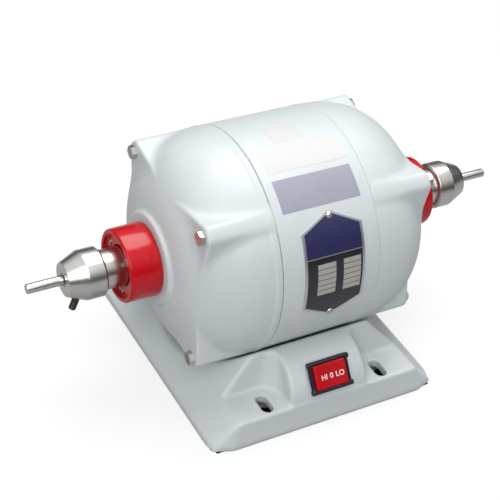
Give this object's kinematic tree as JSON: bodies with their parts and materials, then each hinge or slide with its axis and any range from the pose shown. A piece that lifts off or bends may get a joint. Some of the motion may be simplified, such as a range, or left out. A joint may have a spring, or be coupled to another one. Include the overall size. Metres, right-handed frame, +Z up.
{
  "type": "dental polishing lathe",
  "caption": "Bench motor on a cast base with a rocker switch; each spindle end carries a quick-release chuck that holds a pin for polishing wheels.",
  "frame": {"origin": "centre of the base's underside, which is also the centre of the overall box's bottom face", "axes": "+X runs along the spindle to the right-hand chuck, -Y faces the user and the switch, +Z is up"},
  "size_m": [0.344, 0.1912, 0.1668],
  "materials": {
    "enamel": "gloss pale grey enamel on cast iron and steel",
    "sheet_steel": "dark primed sheet steel",
    "plated_steel": "zinc plated steel fasteners",
    "black_steel": "black oxide steel",
    "rubber": "moulded black rubber",
    "black_plastic": "moulded black plastic, satin",
    "red_plastic": "moulded red plastic, gloss",
    "capacitor_case": "pale plastic case",
    "brass": "drawn brass",
    "ground_steel": "ground bearing steel",
    "polished_steel": "turned and polished steel",
    "plate_aluminium": "blank anodised aluminium plate",
    "cast_aluminium": "die-cast aluminium",
    "laminations": "stacked electrical steel laminations",
    "copper": "varnished copper wire"
  },
  "bodies": {
    "housing": {"base_casting": "enamel", "bottom_cover": "sheet_steel", "cover_screws": "plated_steel", "motor_screws": "black_steel", "lead_grommet": "rubber", "cord_inlet_bush": "black_plastic", "run_capacitor": "capacitor_case", "capacitor_clamp": "sheet_steel", "capacitor_clamp_rivets": "cast_aluminium", "switch_housing": "black_plastic", "switch_terminals": "brass", "switch_pivot_pin": "ground_steel", "stator_shell": "enamel", "left_end_bell": "enamel", "right_end_bell": "enamel", "through_bolts": "plated_steel", "through_bolt_nuts": "plated_steel", "name_plate": "plate_aluminium", "name_plate_rivets": "plated_steel", "stator_core": "laminations", "stator_windings": "copper", "preload_washer": "black_steel", "left_outer_race": "ground_steel", "right_outer_race": "ground_steel"},
    "rotor": {"rotor_core": "laminations", "rotor_cage": "cast_aluminium", "spindle": "ground_steel", "left_inner_race": "ground_steel", "right_inner_race": "ground_steel"},
    "rocker": {"switch_rocker": "red_plastic"},
    "left_balls": {"left_bearing_balls": "ground_steel"},
    "left_knob": {"left_release_knob": "red_plastic", "left_knob_screws": "plated_steel", "left_cam_ring": "brass"},
    "left_sleeve": {"left_ejector_sleeve": "ground_steel", "left_ejector_pins": "ground_steel"},
    "left_chuck": {"left_chuck": "polished_steel"},
    "left_pin": {"left_chuck_pin": "polished_steel"},
    "left_clamp": {"left_clamp_screw": "black_steel"},
    "right_balls": {"right_bearing_balls": "ground_steel"},
    "right_knob": {"right_release_knob": "red_plastic", "right_knob_screws": "plated_steel", "right_cam_ring": "brass"},
    "right_sleeve": {"right_ejector_sleeve": "ground_steel", "right_ejector_pins": "ground_steel"},
    "right_chuck": {"right_chuck": "polished_steel"},
    "right_pin": {"right_chuck_pin": "polished_steel"},
    "right_clamp": {"right_clamp_screw": "black_steel"}
  },
  "joints": [
    {"name": "spindle_spin", "type": "hinge", "parent": "housing", "child": "rotor", "pos_m": [0, 0, 0.0918], "axis": [1, 0, 0], "continuous": true},
    {"name": "rocker_tilt", "type": "hinge", "parent": "housing", "child": "rocker", "pos_m": [0.0012, -0.08417, 0.03144], "axis": [0, 0.6018, 0.7986], "range_deg": [-10, 10]},
    {"name": "left_balls_orbit", "type": "hinge", "parent": "housing", "child": "left_balls", "pos_m": [0, 0, 0.0918], "axis": [1, 0, 0], "continuous": true},
    {"name": "left_knob_turn", "type": "hinge", "parent": "housing", "child": "left_knob", "pos_m": [0, 0, 0.0918], "axis": [1, 0, 0], "range_deg": [0, 90]},
    {"name": "left_sleeve_slide", "type": "slide", "parent": "housing", "child": "left_sleeve", "axis": [-1, 0, 0], "range_m": [0, 0.003]},
    {"name": "left_chuck_slide", "type": "slide", "parent": "rotor", "child": "left_chuck", "axis": [-1, 0, 0], "range_m": [0, 0.003]},
    {"name": "left_pin_slide", "type": "slide", "parent": "left_chuck", "child": "left_pin", "axis": [-1, 0, 0], "range_m": [0, 0.014]},
    {"name": "left_clamp_screw_turn", "type": "hinge", "parent": "left_chuck", "child": "left_clamp", "pos_m": [-0.13948, -0.00202, 0.07739], "axis": [-0.4226, -0.1261, -0.8975], "range_deg": [0, 360]},
    {"name": "right_balls_orbit", "type": "hinge", "parent": "housing", "child": "right_balls", "pos_m": [0, 0, 0.0918], "axis": [1, 0, 0], "continuous": true},
    {"name": "right_knob_turn", "type": "hinge", "parent": "housing", "child": "right_knob", "pos_m": [0, 0, 0.0918], "axis": [1, 0, 0], "range_deg": [0, 90]},
    {"name": "right_sleeve_slide", "type": "slide", "parent": "housing", "child": "right_sleeve", "axis": [1, 0, 0], "range_m": [0, 0.003]},
    {"name": "right_chuck_slide", "type": "slide", "parent": "rotor", "child": "right_chuck", "axis": [1, 0, 0], "range_m": [0, 0.003]},
    {"name": "right_pin_slide", "type": "slide", "parent": "right_chuck", "child": "right_pin", "axis": [1, 0, 0], "range_m": [0, 0.014]},
    {"name": "right_clamp_screw_turn", "type": "hinge", "parent": "right_chuck", "child": "right_clamp", "pos_m": [0.13948, 0.01081, 0.08206], "axis": [0.4226, 0.6735, -0.6064], "range_deg": [0, 360]}
  ],
  "couplings": [
    {"joint": "left_balls_orbit", "follows": "spindle_spin", "ratio": 0.38246},
    {"joint": "left_knob_turn", "follows": "left_chuck_slide", "rad_per_m": 523.6},
    {"joint": "left_sleeve_slide", "follows": "left_chuck_slide", "ratio": 1},
    {"joint": "right_balls_orbit", "follows": "spindle_spin", "ratio": 0.38246},
    {"joint": "right_knob_turn", "follows": "right_chuck_slide", "rad_per_m": 523.6},
    {"joint": "right_sleeve_slide", "follows": "right_chuck_slide", "ratio": 1}
  ]
}
